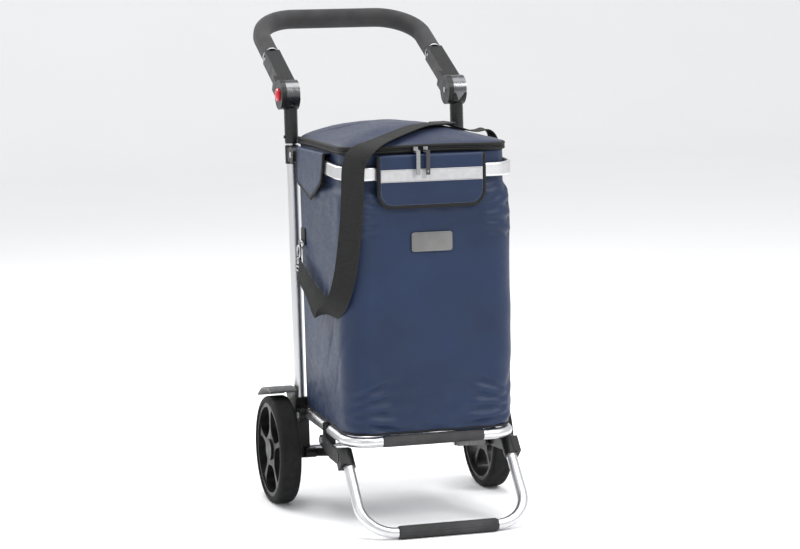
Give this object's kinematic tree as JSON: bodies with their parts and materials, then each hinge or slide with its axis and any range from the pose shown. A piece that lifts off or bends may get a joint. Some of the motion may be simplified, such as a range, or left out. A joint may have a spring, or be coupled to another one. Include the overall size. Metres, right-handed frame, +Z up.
{
  "type": "shopping trolley",
  "caption": "Folding wheeled shopping trolley: aluminium frame, padded tilting U handle, swing-up tray and stand, spoked wheels, lidded navy fabric bag with shoulder strap.",
  "frame": {"origin": "on the ground, under the middle of the whole object", "axes": "+Z up, -Y to the front (the side with the stand and zip pulls), +X to the right seen from the front"},
  "size_m": [0.452, 0.7064, 0.9072],
  "materials": {
    "bare_tube": "satin anodised",
    "riser_black": "semi-gloss black",
    "hinge_metal": "dark polished",
    "black_plastic": "fine moulded texture",
    "wheel_plastic": "moulded",
    "guard_plastic": "satin",
    "tyre_rubber": "matt",
    "foam_black": "closed-cell foam",
    "sleeve_black": "soft skin",
    "red_plastic": "gloss",
    "steel": "zinc plated",
    "bag_fabric": "woven nylon",
    "lid_fabric": "woven nylon",
    "webbing": "ribbed webbing",
    "binding": "bias tape",
    "reflective": "reflective tape",
    "zip_metal": "worn nickel",
    "label_grey": "satin print",
    "base_board": "smooth"
  },
  "bodies": {
    "frame": {"uprights": "bare_tube", "hoop_brackets": "black_plastic", "hoop_pivot_bolts": "steel", "axle_brackets": "black_plastic", "mudguards": "guard_plastic", "axle": "steel", "axle_spacers": "black_plastic", "axle_retainers": "steel", "tray_pivot_bolts": "steel", "strut_pivot_bolts": "steel", "bag_body": "bag_fabric", "front_flap": "bag_fabric", "reflective_strip": "reflective", "side_flaps": "bag_fabric", "label_plate": "label_grey", "strap_rings": "black_plastic", "snap_hooks": "zip_metal", "shoulder_strap": "webbing", "zip_sliders": "zip_metal"},
    "risers": {"riser_tubes": "riser_black", "hinge_bases": "hinge_metal", "riser_caps": "black_plastic"},
    "left_snap": {"left_snap_button": "black_plastic"},
    "right_snap": {"right_snap_button": "black_plastic"},
    "handle": {"left_arm": "black_plastic", "right_arm": "black_plastic", "hinge_pins": "steel", "right_hinge_screw": "steel", "arm_rivets": "steel", "grip_tube": "bare_tube", "foam_grip": "foam_black", "button_spring": "steel"},
    "release": {"release_button": "red_plastic"},
    "hoop": {"hoop_tube": "bare_tube", "hoop_lugs": "black_plastic"},
    "tray": {"tray_tube": "bare_tube", "tray_sleeve": "sleeve_black", "stand_mounts": "black_plastic", "stand_pivot_bolts": "steel", "bag_base_board": "base_board"},
    "stand": {"stand_tube": "bare_tube", "stand_foot": "sleeve_black", "stand_brackets": "black_plastic"},
    "struts": {"fold_struts": "black_plastic"},
    "left_wheel": {"left_rim": "wheel_plastic", "left_tyre": "tyre_rubber", "left_hub_cap": "wheel_plastic", "left_bearings": "steel"},
    "right_wheel": {"right_rim": "wheel_plastic", "right_tyre": "tyre_rubber", "right_hub_cap": "wheel_plastic", "right_bearings": "steel"},
    "lid": {"bag_lid": "lid_fabric", "lid_zip_band": "binding"},
    "left_pull": {"left_zip_pull": "zip_metal"},
    "right_pull": {"right_zip_pull": "zip_metal"}
  },
  "joints": [
    {"name": "handle_height", "type": "slide", "parent": "frame", "child": "risers", "axis": [0, 0.0436, 0.999], "range_m": [0, 0.035]},
    {"name": "left_snap_press", "type": "slide", "parent": "risers", "child": "left_snap", "axis": [1, 0, 0], "range_m": [0, 0.0015], "stiffness_N_per_m": 800},
    {"name": "right_snap_press", "type": "slide", "parent": "risers", "child": "right_snap", "axis": [-1, 0, 0], "range_m": [0, 0.0015], "stiffness_N_per_m": 800},
    {"name": "handle_tilt", "type": "hinge", "parent": "risers", "child": "handle", "pos_m": [0, 0.06651, 0.757], "axis": [1, 0, 0], "range_deg": [-30, 60]},
    {"name": "button_press", "type": "slide", "parent": "handle", "child": "release", "axis": [1, 0, 0], "range_m": [0, 0.003], "stiffness_N_per_m": 600, "deforming": ["button_spring"]},
    {"name": "hoop_fold", "type": "hinge", "parent": "frame", "child": "hoop", "pos_m": [0, 0.03171, 0.64779], "axis": [-1, 0, 0], "range_deg": [0, 80]},
    {"name": "tray_fold", "type": "hinge", "parent": "frame", "child": "tray", "pos_m": [0, 0.00482, 0.167], "axis": [-1, 0, 0], "range_deg": [0, 90], "deforming": ["bag_body", "side_flaps", "front_flap", "reflective_strip", "shoulder_strap"]},
    {"name": "stand_fold", "type": "hinge", "parent": "tray", "child": "stand", "pos_m": [0, -0.12718, 0.143], "axis": [-1, 0, 0], "range_deg": [-130, 0]},
    {"name": "strut_fold", "type": "hinge", "parent": "frame", "child": "struts", "pos_m": [0, 0.01582, 0.093], "axis": [-1, 0, 0], "range_deg": [0, 64]},
    {"name": "left_wheel_spin", "type": "hinge", "parent": "frame", "child": "left_wheel", "pos_m": [-0.206, 0.03782, 0.1], "axis": [1, 0, 0], "continuous": true},
    {"name": "right_wheel_spin", "type": "hinge", "parent": "frame", "child": "right_wheel", "pos_m": [0.206, 0.03782, 0.1], "axis": [1, 0, 0], "continuous": true},
    {"name": "lid_open", "type": "hinge", "parent": "frame", "child": "lid", "pos_m": [0, 0.05013, 0.68], "axis": [-1, 0, 0], "range_deg": [0, 60]},
    {"name": "left_zip_swing", "type": "hinge", "parent": "frame", "child": "left_pull", "pos_m": [-0.027, -0.27318, 0.671], "axis": [-1, 0, 0], "range_deg": [0, 80]},
    {"name": "right_zip_swing", "type": "hinge", "parent": "frame", "child": "right_pull", "pos_m": [-0.009, -0.27318, 0.671], "axis": [-1, 0, 0], "range_deg": [0, 80]}
  ],
  "couplings": [
    {"joint": "stand_fold", "follows": "tray_fold", "ratio": -1.44},
    {"joint": "strut_fold", "follows": "tray_fold", "ratio": 0.7}
  ]
}
